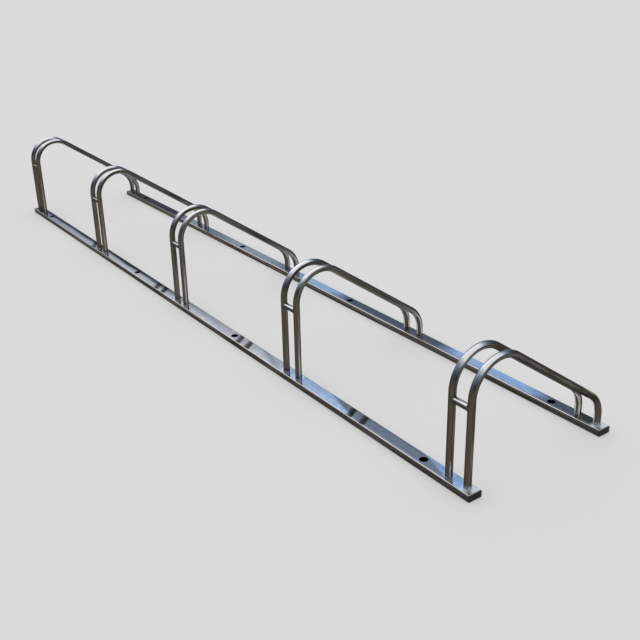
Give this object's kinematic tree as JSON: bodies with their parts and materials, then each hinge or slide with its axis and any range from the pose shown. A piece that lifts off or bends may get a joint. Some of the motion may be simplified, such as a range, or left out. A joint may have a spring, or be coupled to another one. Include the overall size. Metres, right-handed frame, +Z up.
{
  "type": "bicycle rack",
  "caption": "Floor-standing bicycle rack: pairs of bent steel tubes, high in front and low behind, welded on two flat rails, each pair holding one front wheel.",
  "frame": {"origin": "on the floor, in the middle of the rack", "axes": "+X along the two rails, +Y from the front rail with the high legs to the rear rail with the low legs, +Z up"},
  "size_m": [3, 0.529, 0.36],
  "materials": {
    "rail_steel": "polished stainless steel, which mirrors its surroundings",
    "hoop_steel": "polished stainless steel tube",
    "crossbar_steel": "polished stainless steel tube",
    "weld_steel": "cleaned weld bead, satin",
    "plug_plastic": "black plastic, fine matt grain"
  },
  "bodies": {
    "root": {"front_rail": "rail_steel", "rear_rail": "rail_steel", "front_rail_plug_left": "plug_plastic", "front_rail_plug_right": "plug_plastic", "rear_rail_plug_left": "plug_plastic", "rear_rail_plug_right": "plug_plastic", "hoop_1_left": "hoop_steel", "hoop_1_right": "hoop_steel", "hoop_2_left": "hoop_steel", "hoop_2_right": "hoop_steel", "hoop_3_left": "hoop_steel", "hoop_3_right": "hoop_steel", "hoop_4_left": "hoop_steel", "hoop_4_right": "hoop_steel", "hoop_5_left": "hoop_steel", "hoop_5_right": "hoop_steel", "crossbar_1": "crossbar_steel", "crossbar_2": "crossbar_steel", "crossbar_3": "crossbar_steel", "crossbar_4": "crossbar_steel", "crossbar_5": "crossbar_steel", "front_leg_welds": "weld_steel", "rear_leg_welds": "weld_steel", "crossbar_welds": "weld_steel"}
  },
  "joints": []
}
